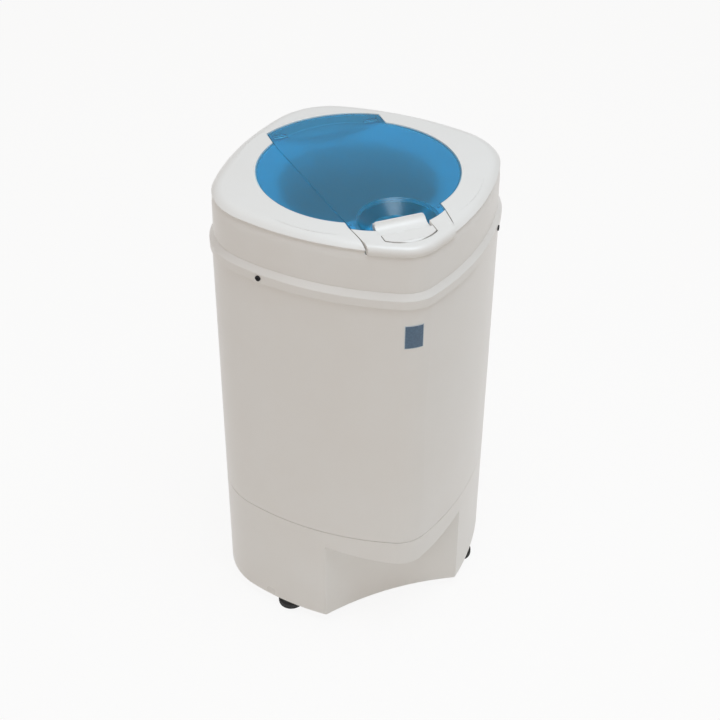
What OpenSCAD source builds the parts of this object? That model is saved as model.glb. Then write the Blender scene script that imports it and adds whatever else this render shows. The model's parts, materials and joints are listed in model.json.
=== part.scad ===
// Laundry spin dryer: a free-standing top loader that flings water out of washed clothes.
// Millimetres. The origin is on the floor under the basket's axis. +Z is up, and the
// front corner, with the latch above and the drain below, points along -Y.

/* [Body] */
// Width of the body across its flat sides
body_w = 345; // [335:5:420]
// Height of the flat top above the floor
body_h = 646; // [560:2:780]
// Distance from the middle back to the centres of the bulging side arcs
side_back = 200; // [160:5:260]
// Radius of the left, right and back corners, in plan
corner_r = 95; // [80:1:110]
// Radius of the front corner, in plan
front_r = 50; // [45:1:70]
// Wall of the cabinet
wall = 2.5; // [2:0.1:3.5]

/* [Base] */
// Height of the base skirt over its bottom edge
base_h = 165; // [150:1:200]
// Height of a rubber foot under the base
foot_h = 15; // [10:1:25]
// Radius of a rubber foot
foot_r = 18; // [12:0.5:19]
// Distance from the axis to the wall of the scooped front
scoop_y = 128; // [120:1:135]
// Radius of the scooped wall, in plan
scoop_r = 420; // [300:10:800]
// Height of the overhang's inner edge above the base's bottom edge
ledge_h = 140; // [125:1:150]
// Slope of the overhang's underside, in degrees
ledge_tilt = 12; // [0:1:15]

/* [Collar and plate] */
// Height of the collar's visible skirt, up to its sloping shoulder
collar_h = 13; // [10:1:20]
// Height of the shoulder's slope
shoulder_h = 8; // [5:1:12]
// Height of the neck above the shoulder
neck_h = 28; // [22:1:34]
// Height of the top plate over the neck
plate_h = 33; // [31:1:36]
// Height of the drooping rim of the top plate
rim_h = 8; // [7:0.5:12]
// Skin of the top plate
skin = 3; // [2.5:0.1:4]
// Radius of the round opening in the plate
opening_r = 128; // [122:1:132]

/* [Lid] */
// Gap all round between the lid and the plate
lid_gap = 1.2; // [0.8:0.1:2]
// Half the width of the lid's back flap
flap_w = 77; // [70:1:80]
// Radius of the flap's back edge about the basket's axis
flap_r = 146; // [142:0.5:147]
// Half the width of the nose where it meets the window
nose_w = 60; // [56:1:64]
// Height of the nose's front lip
nose_h = 12; // [11:0.5:14]
// How much narrower each side of the nose is at its front
nose_taper = 9; // [4:1:14]
// Distance from the basket's axis back to the hinge axis
hinge_y = 116; // [112:1:118]
// Depth of the hinge axis under the flat top
hinge_drop = 10; // [9:0.5:11]
// Radius of the hinge pins
hinge_pin_r = 3; // [2.5:0.1:3.5]
// How far the lid opens, in degrees
lid_open = 95; // [80:1:100]
// Radius of the round finger dish and of the latch paddle's front
dish_r = 50; // [46:1:54]
// Depth of the finger dish
dish_depth = 15; // [10:1:17]
// Half the width of the latch paddle
paddle_w = 32; // [26:0.5:35]

/* [Basket and tub] */
// Outer radius of the spin basket
basket_r = 128; // [105:1:134]
// Inner radius of the basket's mouth
mouth_r = 99; // [90:1:100]
// Sheet thickness of the basket
basket_t = 1.5; // [1:0.1:2.5]
// Rows of drain holes
hole_rows = 8; // [3:1:12]
// Drain holes in each row
row_holes = 16; // [6:1:24]
// Radius of a drain hole
hole_r = 2.6; // [1.5:0.1:3.5]
// Outer radius of the tub
tub_r = 148.5; // [140:0.5:152]
// Wall of the tub
tub_t = 2.5; // [2:0.1:3.5]

/* [Drive] */
// Radius of the shaft
shaft_r = 6; // [5:0.5:8]
// Outer radius of the motor's shells
motor_r = 68; // [60:1:74]
// Height of the motor between its plate and its roof
motor_h = 108; // [90:1:130]
// Radius of the brake drum
drum_r = 46; // [36:1:48]
// Running gap in radius between a turning shaft or pin and its bore
run_gap = 0.05; // [0.03:0.01:0.08]
// How far the rod drops while the lid opens
rod_drop = 5; // [4:0.5:6]

/* [Hidden] */
$fn = 96;
eps = 0.01;
touch = 0.3;            // gap between pieces that lie side by side
white = "#E2E3DE";
shade_white = "#D8D6CF";
blue = "#2F86B5";
dark = "#26272A";
steel = "#B9BCC0";
alloy = "#C3C5C7";
grey = "#8C8F92";

// Plan: four bulging side arcs joined by tangent corner arcs, front corner first
half_w = body_w / 2;
side_arc = half_w + side_back;
corner_radii = [front_r, corner_r, corner_r, corner_r];
function corner_centre(r) = sqrt(pow(side_arc - r, 2) - pow(side_back, 2) / 2) - side_back / sqrt(2);
function corner_half(r) = atan2(side_back / sqrt(2), corner_centre(r) + side_back / sqrt(2));
side_shift = side_back / sqrt(2);
front_reach = corner_centre(front_r) + front_r;
side_reach = corner_centre(corner_r) + corner_r;
fill_in = front_r - 1;  // how far in from the outline a filled sweep reaches
core_r = half_w - 17.5; // round core that closes a filled sweep

// Heights, from the floor up
base_z = foot_h;
floor_t = 3;
floor_z = base_z + floor_t;
seam_z = base_z + base_h;
ledge_z = base_z + ledge_h;

// Heights, from the flat top down
plate_z = body_h - plate_h;
neck_z = plate_z - neck_h;
shoulder_z = neck_z - shoulder_h;
collar_z = shoulder_z - collar_h;

// Insets of the outer faces from the outline
cabinet_in_low = 0.8;
cabinet_in_top = 2.8;
neck_in = 5.3;
neck_lean = 2.6;        // how far the neck leans in under the plate's rim
neck_arc = 39;          // radius of that lean, in section
skirt_in = 10.6;
plate_in = 6.4;
nose_in = 4;

// Plate's rim, which droops from the flat to a thin edge over the neck
rim_z = body_h - rim_h;
rim_edge = 1.2;
rim_run = 15;
rim_arc = (pow(rim_run, 2) + pow(rim_h - rim_edge, 2)) / (2 * (rim_h - rim_edge));

// Collar's inside, and the flanges stacked on the cabinet's top edge
collar_t = cabinet_in_top - touch;
flange_t = 3;
tub_flange_z = shoulder_z - flange_t;
cabinet_top = tub_flange_z;
collar_flange_in = 24;
function cabinet_in(z) =
    cabinet_in_low + (cabinet_in_top - cabinet_in_low) * (z - seam_z - 1) / (cabinet_top - seam_z - 1);

// Lid
glass_t = 4;
glass_z = body_h - glass_t;
strap_rise = 1;
rim_draft = 1.2;        // taper of the window's rim, which clears the plate as the lid lifts
hinge_z = body_h - hinge_drop;
knuckle_r = 6.5;
knuckle_x = 54;
knuckle_w = 18;
window_front = opening_r - 3.5;
bow_rise = 23.5;        // how far the window bows out into the nose, under the paddle
bow_half = nose_w - 1;
bow_r = (pow(nose_w + 3, 2) / bow_rise + bow_rise) / 2;
bow_y = window_front + bow_rise - bow_r;
dish_y = opening_r;
dish_low_r = dish_r - 16;
dish_t = 2.5;
nose_low = body_h - nose_h;
nose_front_w = nose_w - nose_taper;
nose_floor = body_h - dish_depth - dish_t;

// Pocket behind the hinge, where the back flap swings down
pocket_w = flap_w + 1.5;
pocket_y = hinge_y - knuckle_r - 1.5;
pocket_r = norm([flap_w, hinge_y + norm([sqrt(pow(flap_r, 2) - pow(flap_w, 2)) - hinge_y, hinge_drop])]) + 1.7;
pocket_z = hinge_z - norm([flap_r - hinge_y, hinge_drop]) - 1.4;
pocket_t = 2;

// Latch
latch_y = opening_r + dish_r - 5;
latch_z = body_h - 5;
latch_pin_r = 2;
hook_z = plate_z - 13;
hook_t = 4;
hook_reach = 10;
hook_w = 5.5;            // half of its width
arm_w = 7;               // half of its arm's width
hook_gap = 1.4;
paddle_z = body_h - 7;
paddle_top = body_h + 0.2;
paddle_back = 1;        // how far the paddle's front stays inside the dish's circle, to swing clear
ridge_rise = 3.5;
ridge_r = 3.5;
ridge_y = window_front + 1.7 + ridge_r;
ridge_z = body_h + ridge_rise - ridge_r;
boss_r = 3.8;
boss_from = 10;
boss_to = 15;
ear_from = 27.5;
ear_to = 32.5;
coil_r = 3.4;
well_y = latch_y - 11;

// Funnel
funnel_t = 2.5;
funnel_top = body_h - 6;
funnel_throat_r = 101;
funnel_throat_z = body_h - 26;
funnel_low = body_h - 62;
funnel_flange_z = plate_z;
funnel_flange_r = half_w - 15.5;
notch_w = nose_w + lid_gap;
notch_y = window_front - 14;
notch_z = plate_z + 3.2;

// Cams on the hinge pins, between the pocket and the brackets
cam_x = pocket_w + pocket_t + 1.8;
cam_w = 5.4;
cam_r = 7;
switch_drop = 3;
bracket_x = cam_x + cam_w + 1.6;
bracket_w = 6.5;

// Rod beside the tub
rod_r = 3;
rod_x = cam_x + cam_w / 2;
rod_reach = tub_r + rod_r + 4;
rod_y = sqrt(pow(rod_reach, 2) - pow(rod_x, 2));
rod_turn = atan2(rod_y, rod_x);
rod_hole_r = rod_r + 1.5;
rod_pad_z = hinge_z - cam_r - 1.2;
switch_top = hinge_z - cam_r - 0.7;
plunger_r = 2.5;
guide_heights = [seam_z + 80, cabinet_top - 60];
guide_h = 16;
spring_r = 5;
spring_h = 30;

// Drive, from the floor up
mount_r = 14;
mount_z = floor_z;
plate_low = floor_z + 42;
plate_t = 3.5;
motor_z = plate_low + plate_t;
motor_top = motor_z + motor_h;
drum_z = floor_z + 7;
drum_h = 18;
bearing_r = 14;
bearing_h = 8;
neck_top = motor_top + 74;
mount_ring = 76;
mount_turns = [rod_turn + 60, rod_turn + 180, rod_turn + 300];
plate_r = 92;
slot_from = plate_r + 2;
slot_to = plate_r + 38;
pivot_reach = 84;
pivot_z = floor_z + 32;
lever_t = 4;
lining_gap = 1.9;
lining_t = 3.5;

// Tub and basket
tub_z = neck_top - 8;
basket_z = tub_z + 24;
basket_top = funnel_low - 12;
lip_r = 3;
tub_hole_r = 36;
cover_r = funnel_throat_r + 3.5;
cover_out = tub_r + 8.5;
cover_z = tub_flange_z + flange_t + 1;
cover_t = 2.5;
hub_low = neck_top + 6;

// Drain
drain_y = 92;
outlet_r = 11;
hose_t = 2.5;
hose_bend = 22;
stub_length = 11;
spout_z = base_z + 103;
spout_r = 12;
spout_bore = 9.5;
spout_out = 28;
spout_rim = 5;

// Fasteners
screw_turn = 8.8;       // how far a collar screw sits round from the middle of its side, in degrees
screw_z = shoulder_z - 6.5;
screw_hole_r = 1.8;      // clearance hole of every small screw
feet = [[-134, -84], [134, -84], [-98, 112], [98, 112]];

// ---- Shared shapes ----

// Moves along X and Y in three steps each, which keeps every digit of the distance
module shift(x, y) {
    coarse = [floor(x), floor(y)];
    fine = [floor((x - coarse.x) * 1000) / 1000, floor((y - coarse.y) * 1000) / 1000];
    translate(coarse)
        translate(fine)
            translate([x - coarse.x - fine.x, y - coarse.y - fine.y]) children();
}

// Sector between the two seams of the side that follows corner k
module side_sector(k) {
    far = 2.4;
    a = corner_centre(corner_radii[k]);
    b = corner_centre(corner_radii[(k + 1) % 4]);
    shift(-side_shift, -side_shift)
        translate([0, 0, -10])
            linear_extrude(body_h + 40)
                polygon([[0, 0], far * [a + side_shift, side_shift], far * [side_shift, b + side_shift]]);
}

// Sweeps a profile round the plan: x is the distance out from the outline, y the height
module around_plan() {
    for (k = [0:3])
        rotate(90 * k - 90) {
            difference() {
                shift(corner_centre(corner_radii[k]), 0)
                    rotate_extrude()
                        translate([corner_radii[k], 0]) children();
                side_sector(k);
                rotate(-90) side_sector((k + 3) % 4);
            }
            intersection() {
                shift(-side_shift, -side_shift)
                    rotate_extrude($fn = 180)
                        shift(side_arc, 0) children();
                side_sector(k);
            }
        }
}

// Filled block with the plan's outline, inset all round
module plan_block(inset, low, high) {
    around_plan()
        translate([-fill_in, low]) square([fill_in - inset, high - low]);
    translate([0, 0, low]) cylinder(r = core_r, h = high - low);
}

// Points of an arc in a profile, in steps of 15 degrees
function arc(x, z, r, from, to) =
    let (steps = ceil(abs(to - from) / 15))
    [for (i = [0:steps]) let (a = from + (to - from) * i / steps) [x + r * cos(a), z + r * sin(a)]];

module tube(outer, inner, low, high) {
    translate([0, 0, low])
        difference() {
            cylinder(r = outer, h = high - low);
            translate([0, 0, -1]) cylinder(r = inner, h = high - low + 2);
        }
}

module disc(r, low, high) {
    translate([0, 0, low]) cylinder(r = r, h = high - low);
}

// Round bar along X from one x to another
module bar_x(r, from, to, y, z) {
    translate([from, y, z]) rotate([0, 90, 0]) cylinder(r = r, h = to - from);
}

// Block given by two opposite corners
module block(low, high) {
    translate(low) cube(high - low);
}

// Way through for the rod, at one height
module rod_hole(z) {
    translate([rod_x, rod_y, 0]) disc(rod_hole_r, z - 10, z + 10);
}

// Screw along -Z with its head on z = 0, and a cross recess in the head
module screw(head_r, head_h, shank_r, length) {
    difference() {
        cylinder(r = head_r, h = head_h, $fn = 32);
        for (turn = [0, 90])
            rotate(turn)
                block([-head_r * 0.6, -0.5, head_h * 0.4], [head_r * 0.6, 0.5, head_h + 1]);
    }
    translate([0, 0, -length]) cylinder(r = shank_r, h = length + eps, $fn = 32);
}

// The four places of the collar's screws: one on each side, nearer the left or right corner
module at_collar_screws() {
    for (x_side = [0, 1], y_side = [0, 1])
        mirror([x_side, 0, 0]) mirror([0, y_side, 0])
            rotate(-45)
                translate([-side_back, 0, screw_z])
                    rotate(screw_turn)
                        translate([side_arc, 0, 0])
                            rotate([0, 90, 0]) children();
}

// The plate's screws: four at the middle of the sides
module at_plate_screws() {
    for (turn = [45:90:315])
        rotate(turn) translate([half_w - 18.5, 0, 0]) children();
}

module at_cover_screws() {
    for (turn = [20, 160, 200, 340])
        rotate(turn) translate([(tub_r + cover_out) / 2, 0, 0]) children();
}

module at_motor_mounts(which = [0:2]) {
    for (i = which)
        rotate(mount_turns[i]) translate([mount_ring, 0, 0]) children();
}

// ---- Body ----

// Space scooped out of the base's front corner, grown all round by a wall
module scoop(grow) {
    difference() {
        translate([0, -scoop_y - scoop_r, -1])
            cylinder(r = scoop_r + grow, h = ledge_z + 60, $fn = 360);
        translate([0, -scoop_y, ledge_z + grow])
            rotate([ledge_tilt, 0, 0])
                block([-scoop_r, -scoop_r, 0], [scoop_r, scoop_r, 200]);
    }
}

module base_form(inset, low, high) {
    around_plan()
        polygon([
            [-fill_in, low], [-inset - 1.5, low], [-inset, low + 1.5],
            [-inset - cabinet_in_low, high], [-fill_in, high]
        ]);
    disc(core_r, low, high);
}

module base_skirt() {
    color(white)
        difference() {
            union() {
                difference() {
                    base_form(0, base_z, seam_z);
                    scoop(0);
                    difference() {
                        base_form(3, floor_z, seam_z + 1);
                        scoop(floor_t);
                    }
                }
                // lip that the cabinet slips over
                around_plan()
                    translate([-cabinet_in_low - wall - touch - 2.2, seam_z - 8]) square([2.2, 18]);
            }
            // drain spout
            translate([0, -scoop_y + 20, spout_z])
                rotate([90, 0, 0]) cylinder(r = spout_r + 0.1, h = 60);
            // cord gland
            translate([0, side_reach - 15, base_z + 45])
                rotate([-90, 0, 0]) cylinder(r = 7.2, h = 40);
            // stems of the feet
            for (at = feet)
                translate([at.x, at.y, base_z - 1]) cylinder(r = 4, h = floor_t + 2);
            // air slots under the motor
            for (side = [0, 1], turn = [195:13:234])
                mirror([side, 0, 0])
                    rotate(turn) block([slot_from, -2.5, base_z - 1], [slot_to, 2.5, floor_z + 1]);
        }
}

module cabinet() {
    color(white)
        difference() {
            around_plan()
                polygon([
                    [-cabinet_in_low - 0.8, seam_z + 0.2], [-cabinet_in_low, seam_z + 1],
                    [-cabinet_in_top, cabinet_top], [-cabinet_in_top - wall, cabinet_top],
                    [-cabinet_in_low - wall, seam_z + 0.2]
                ]);
            at_collar_screws() translate([0, 0, -12]) cylinder(r = screw_hole_r, h = 14);
        }
}

module collar() {
    lean_turn = acos(1 - neck_lean / neck_arc);
    lean_h = neck_arc * sin(lean_turn);
    color(white)
        difference() {
            around_plan()
                polygon(concat(
                    [[-collar_t, collar_z], [-1, collar_z]],
                    arc(-1.5, collar_z + 1.5, 1.5, -45, 0),
                    arc(-2.5, shoulder_z - 1.5, 2.5, 0, 52),
                    [[-neck_in - 0.4, neck_z - 0.6], [-neck_in, neck_z + 0.6]],
                    arc(-neck_in - 0.5 - neck_arc, rim_z - touch - lean_h, neck_arc, 0, lean_turn),
                    [[-skirt_in + touch + 0.1, rim_z - touch], [-skirt_in + touch + 0.1, plate_z]],
                    [[-collar_flange_in, plate_z], [-collar_flange_in, plate_z - flange_t]],
                    [[-neck_in - flange_t, plate_z - flange_t], [-neck_in - flange_t, shoulder_z + 0.2]],
                    [[-collar_t, shoulder_z + 0.2]]
                ));
            hinge_pocket(pocket_t + 0.2);
            hook_way();
            // dip in front, under the nose's lip
            translate([0, 0, nose_low - lid_gap]) linear_extrude(rim_h + nose_h) nose_outline(lid_gap);
            at_collar_screws() translate([0, 0, -12]) cylinder(r = screw_hole_r, h = 14);
            at_plate_screws() disc(screw_hole_r, plate_z - 5, plate_z + 1);
            rod_hole(plate_z);
        }
}

// Plate's rim and flat, before its openings
module plate_form() {
    crown = plate_in + rim_run;
    skirt_x = -skirt_in - skin;
    skirt_top = body_h - rim_arc + sqrt(pow(rim_arc - skin, 2) - pow(crown + skirt_x, 2));
    around_plan()
        polygon(concat(
            [[skirt_x, plate_z], [-skirt_in, plate_z], [-skirt_in, rim_z], [-plate_in, rim_z]],
            arc(-crown, body_h - rim_arc, rim_arc, acos(rim_run / rim_arc), 90),
            [[-fill_in, body_h], [-fill_in, body_h - skin]],
            arc(-crown, body_h - rim_arc, rim_arc - skin, 90, acos((crown + skirt_x) / (rim_arc - skin)))
        ));
    tube(core_r, opening_r - 3, body_h - skin, body_h);
}

// Outline of the nose, grown all round by the lid's gap where the plate needs it
module nose_outline(grow) {
    polygon([
        [-nose_w - grow, -opening_r + 40], [nose_w + grow, -opening_r + 40],
        [nose_w + grow, -window_front],
        [nose_front_w + grow, -front_reach - 5], [-nose_front_w - grow, -front_reach - 5],
        [-nose_w - grow, -window_front]
    ]);
}

// Space behind the hinge that the back flap swings through, grown by a wall
module hinge_pocket(grow) {
    intersection() {
        block([-pocket_w - grow, pocket_y - grow, pocket_z - grow],
            [pocket_w + grow, front_reach, body_h + 1]);
        disc(pocket_r + grow, pocket_z - grow - 1, body_h + 2);
    }
}

module top_plate() {
    color(white)
        difference() {
            union() {
                plate_form();
                tube(opening_r + skin, opening_r - 1, funnel_top + 0.2, body_h);
                at_plate_screws() disc(4.5, plate_z, body_h - skin + eps);
            }
            disc(opening_r, plate_z - 1, body_h + 1);
            // notch for the back flap
            intersection() {
                block([-flap_w - lid_gap, 60, plate_z], [flap_w + lid_gap, front_reach, body_h + 1]);
                disc(flap_r + 3, plate_z - 1, body_h + 2);
            }
            // way through for the nose
            translate([0, 0, plate_z - 1]) linear_extrude(plate_h + 2) nose_outline(lid_gap);
            at_plate_screws() disc(1.6, plate_z - 1, plate_z + 16);
        }
}

module funnel() {
    pin_slot = hinge_pin_r + 1;
    color(shade_white)
        difference() {
            union() {
                difference() {
                    rotate_extrude()
                        polygon([
                            [opening_r - 2.5, funnel_top], [opening_r + skin, funnel_top],
                            [opening_r + skin, funnel_flange_z + funnel_t],
                            [funnel_flange_r, funnel_flange_z + funnel_t],
                            [funnel_flange_r, funnel_flange_z],
                            [opening_r + skin - funnel_t, funnel_flange_z],
                            [opening_r + skin - funnel_t, funnel_top - 2],
                            [funnel_throat_r + funnel_t, funnel_throat_z - 1.5],
                            [funnel_throat_r + funnel_t, funnel_low],
                            [funnel_throat_r, funnel_low], [funnel_throat_r, funnel_throat_z]
                        ]);
                    hinge_pocket(0);
                }
                // walls of the hinge pocket
                difference() {
                    hinge_pocket(pocket_t);
                    hinge_pocket(0);
                    disc(pocket_r + 20, funnel_top, body_h + 5);
                }
                // wall across the front, behind the nose
                block([-notch_w, -notch_y, notch_z - 2], [notch_w, -notch_y + funnel_t, funnel_top]);
            }
            // notch under the nose
            block([-notch_w, -front_reach, notch_z], [notch_w, -notch_y, body_h]);
            dish_solid(dish_t + 2.5);
            hook_way();
            at_plate_screws() disc(4.8, plate_z - 2, plate_z + 5);
            // slots that the hinge pins drop into
            bar_x(pin_slot, -bracket_x, bracket_x, hinge_y, hinge_z);
            block([-bracket_x, hinge_y - pin_slot, hinge_z], [bracket_x, hinge_y + pin_slot, body_h]);
            rod_hole(plate_z);
        }
}

// Plain sticker on the front corner
module label() {
    low = cabinet_top - 71;
    high = low + 37;
    turn = 29;
    color(blue)
        translate([0, -corner_centre(front_r), 0])
            rotate(-90 - turn / 2 - 4)
                rotate_extrude(angle = turn)
                    translate([front_r, 0])
                        polygon([
                            [-cabinet_in(low), low], [-cabinet_in(low) + 0.5, low],
                            [-cabinet_in(high) + 0.5, high], [-cabinet_in(high), high]
                        ]);
}

// ---- Lid ----

module dish_solid(grow) {
    translate([0, -dish_y, body_h - dish_depth - grow])
        cylinder(r1 = dish_low_r + grow, r2 = dish_r + grow, h = dish_depth + grow);
}

// Bow of the window's front edge, grown all round
module bow(grow, low, high) {
    translate([0, -bow_y, 0]) disc(bow_r + grow, low, high);
}

// Everything in front of the window's front edge, which starts back from it by a gap
module before_window(gap, low, high) {
    difference() {
        block([-200, -300, low], [200, -window_front - gap, high]);
        bow(gap, low - 1, high + 1);
    }
}

// Central strap of the window, from the back flap to the bow
module strap_outline() {
    polygon([
        [-bow_half, -window_front - bow_rise - 1], [bow_half, -window_front - bow_rise - 1],
        [bow_half, -window_front], [flap_w, 85], [flap_w, flap_r], [-flap_w, flap_r], [-flap_w, 85],
        [-bow_half, -window_front]
    ]);
}

module lid_window() {
    window_r = opening_r - lid_gap;
    color(blue, 0.75)
        difference() {
            union() {
                translate([0, 0, glass_z - 0.5])
                    cylinder(r1 = window_r - rim_draft, r2 = window_r, h = glass_t + 0.5 - strap_rise);
                intersection() {
                    translate([0, 0, glass_z]) linear_extrude(glass_t) strap_outline();
                    disc(flap_r, glass_z - 1, body_h + 1);
                }
                intersection() {
                    dish_solid(dish_t);
                    union() {
                        disc(window_r, body_h - 30, body_h - strap_rise);
                        bow(0, body_h - 30, body_h - strap_rise);
                    }
                }
                for (side = [1, -1]) {
                    from = side > 0 ? knuckle_x : -knuckle_x - knuckle_w;
                    bar_x(knuckle_r, from, from + knuckle_w, hinge_y, hinge_z);
                    block([from, hinge_y - 5, hinge_z], [from + knuckle_w, hinge_y + 5, glass_z + 1]);
                }
            }
            dish_solid(0);
            before_window(0, body_h - 60, body_h + 10);
            bar_x(hinge_pin_r, -120, 120, hinge_y, hinge_z);
            // screws that hold the nose
            for (x = [-nose_w + 4, nose_w - 4])
                translate([x, -window_front + 7, glass_z - 1]) cylinder(r = 1.6, h = 3.5);
        }
}

// Way through for the latch hook
module hook_way() {
    block([-12, -front_reach + 13.5, hook_z - 2], [12, -144, plate_z + 4]);
}

// Shape of the nose's shell, at its outer face or inset by its wall
module nose_form(inset, low, high) {
    crown = nose_in + 8;
    intersection() {
        union() {
            around_plan()
                polygon(concat(
                    [[-fill_in, low], [-nose_in - 0.8 - inset, low], [-nose_in - 0.6 - inset, nose_low + 0.6]],
                    arc(-crown, body_h - 8, 8 - inset, -15, 90),
                    [[-fill_in, high]]
                ));
            block([-nose_w - 5, -opening_r - 35, low], [nose_w + 5, -60, high]);
        }
        translate([0, 0, low - 1])
            linear_extrude(high - low + 2) nose_outline(-inset);
        before_window(touch + inset, low - 1, high + 1);
    }
}

// Outline of the paddle, grown at its sides and at its round front
module paddle_outline(side, front) {
    intersection() {
        translate([0, -dish_y]) circle(r = dish_r + front);
        translate([-paddle_w - side, -dish_y - dish_r - 5]) square([2 * (paddle_w + side), dish_r + 20]);
    }
}

module lid_nose() {
    color(white)
        difference() {
            union() {
                difference() {
                    nose_form(0, nose_low, body_h);
                    difference() {
                        nose_form(skin, nose_low - 1, body_h - skin);
                        disc(front_reach, body_h - skin, body_h + 5);
                    }
                    // open back, under the skin
                    difference() {
                        block([-nose_w + 3, -window_front - bow_rise - 4, nose_low - 1], [nose_w - 3, -60, body_h - skin]);
                        before_window(touch + skin, nose_low - 2, body_h);
                    }
                }
                // wall along the window's front edge, and well under the paddle
                intersection() {
                    before_window(touch, nose_floor, body_h - 1);
                    union() {
                        bow(touch + dish_t, nose_floor, body_h - 1);
                        block([-paddle_w - lid_gap - dish_t, -well_y, nose_floor],
                            [paddle_w + lid_gap + dish_t, -window_front, body_h - 1]);
                    }
                    translate([0, 0, nose_floor - 1]) linear_extrude(plate_h) nose_outline(-1);
                }
                // tabs under the window
                for (x = [-nose_w + 4, nose_w - 4])
                    block([x - 3.5, -window_front - 12, glass_z - 4.5], [x + 3.5, -window_front + 12, glass_z - 0.5]);
                // ears that hold the latch pin
                for (side = [0, 1])
                    mirror([side, 0, 0])
                        block([ear_from, -latch_y - 5, latch_z - 5.5], [ear_to, -latch_y + 5, body_h - 1]);
            }
            translate([0, 0, body_h - dish_depth]) linear_extrude(dish_depth + 1) paddle_outline(lid_gap, lid_gap);
            bar_x(latch_pin_r, -ear_to - 1, ear_to + 1, -latch_y, latch_z);
            for (x = [-nose_w + 4, nose_w - 4])
                translate([x, -window_front + 7, glass_z - 6]) cylinder(r = screw_hole_r, h = 8);
        }
}

module latch_lever() {
    color(white)
        difference() {
            union() {
                intersection() {
                    translate([0, 0, paddle_z]) linear_extrude(paddle_top - paddle_z) paddle_outline(0, -paddle_back);
                    union() {
                        block([-100, -latch_y, 0], [100, -window_front - 1.5, body_h + 9]);
                        bar_x(paddle_top - latch_z - 0.1, -100, 100, -latch_y, latch_z);
                    }
                }
                // straight ridge at the rear, with round ends
                translate([0, -ridge_y, ridge_z])
                    rotate([0, 90, 0])
                        rotate_extrude()
                            polygon(concat(
                                [[0, -paddle_w]], arc(0, ridge_r - paddle_w, ridge_r, -75, 0),
                                arc(0, paddle_w - ridge_r, ridge_r, 0, 75), [[0, paddle_w]]
                            ));
                // bosses on the pin, and the hook's arm between them
                for (side = [-1, 1])
                    bar_x(boss_r, side > 0 ? boss_from : -boss_to, side > 0 ? boss_to : -boss_from,
                        -latch_y, latch_z);
                block([-arm_w, -latch_y - 3, hook_z], [arm_w, -latch_y + 3, paddle_z + 1]);
                block([-hook_w, -latch_y - hook_reach, hook_z], [hook_w, -latch_y + 3, hook_z + hook_t]);
            }
            // room for the coils
            for (side = [-1, 1])
                bar_x(coil_r + 0.5, side > 0 ? arm_w : -boss_from, side > 0 ? boss_from : -arm_w, -latch_y, latch_z);
            // hollow in front of the ridge
            bar_x(15, -paddle_w - 5, paddle_w + 5, -window_front - 19, body_h + 10.5);
            bar_x(latch_pin_r + run_gap, -40, 40, -latch_y, latch_z);
        }
}

module latch_pin() {
    color(steel) bar_x(latch_pin_r, -ear_to, ear_to, -latch_y, latch_z);
}

// Two short coils beside the hook's arm
module latch_spring() {
    color(steel)
        for (side = [-1, 1])
            difference() {
                bar_x(coil_r, side > 0 ? 7.3 : -9.7, side > 0 ? 9.7 : -7.3, -latch_y, latch_z);
                bar_x(latch_pin_r + 0.4, -12, 12, -latch_y, latch_z);
            }
}

module latch_keeper() {
    low = hook_z + hook_t + 0.5;
    back = -latch_y - hook_reach - hook_gap;
    front = -front_reach + neck_in + flange_t + 2.2;
    color(steel) {
        block([-11, front, low], [11, back, low + 2]);
        block([-11, front, low], [11, front + 2.5, plate_z - flange_t]);
    }
}

// Hinge pin with a spiral cam on its outer end: the cam's radius grows evenly with the angle
module hinge_pin(side, drop) {
    turn = lid_open + 5;
    spiral = [for (a = [0:5:turn])
        let (r = cam_r + drop * a / lid_open) [r * sin(a), -r * cos(a)]];
    color(steel) mirror([side > 0 ? 0 : 1, 0, 0]) {
        bar_x(hinge_pin_r, knuckle_x, bracket_x + bracket_w + 1, hinge_y, hinge_z);
        translate([cam_x, hinge_y, hinge_z])
            rotate([90, 0, 90])
                linear_extrude(cam_w)
                    union() {
                        circle(r = cam_r - 0.6);
                        polygon(concat([[0, 0]], spiral));
                    }
    }
}

module hinge_bracket(side) {
    color(shade_white)
        mirror([side > 0 ? 0 : 1, 0, 0])
            difference() {
                block([bracket_x, hinge_y - 9, hinge_z - 9], [bracket_x + bracket_w, hinge_y + 5.5, body_h - skin]);
                bar_x(hinge_pin_r + run_gap, bracket_x - 5, bracket_x + bracket_w + 5, hinge_y, hinge_z);
            }
}

// ---- Interlock and brake ----

module interlock_rod() {
    low = pivot_z + lever_t / 2 + 0.8;
    color(steel) {
        translate([rod_x, rod_y, 0]) disc(rod_r, low, rod_pad_z - 1);
        // pad under the cam
        block([rod_x - 3, hinge_y - 5, rod_pad_z - 5], [rod_x + 3, rod_y, rod_pad_z]);
        // collar that the spring lifts
        translate([rod_x, rod_y, guide_heights[0] + guide_h + spring_h]) disc(spring_r, 0, 3);
    }
}

// Two guides on the tub's side
module rod_guides() {
    color(grey)
        for (z = guide_heights)
            difference() {
                rotate(rod_turn) block([tub_r - 5, -8.5, z], [rod_reach + 8, 8.5, z + guide_h]);
                disc(tub_r, z - 1, z + guide_h + 1);
                translate([rod_x, rod_y, 0]) disc(rod_r + run_gap, z - 1, z + guide_h + 1);
                // seat that the spring sinks into
                translate([rod_x, rod_y, z + guide_h]) disc(spring_r + 0.6, -rod_drop - 1.5, 1);
            }
}

// Return spring on the rod, above the lower guide's seat
module rod_spring() {
    low = guide_heights[0] + guide_h;
    color(steel) translate([rod_x, rod_y, 0]) tube(spring_r, rod_r, low, low + spring_h);
}

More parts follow.
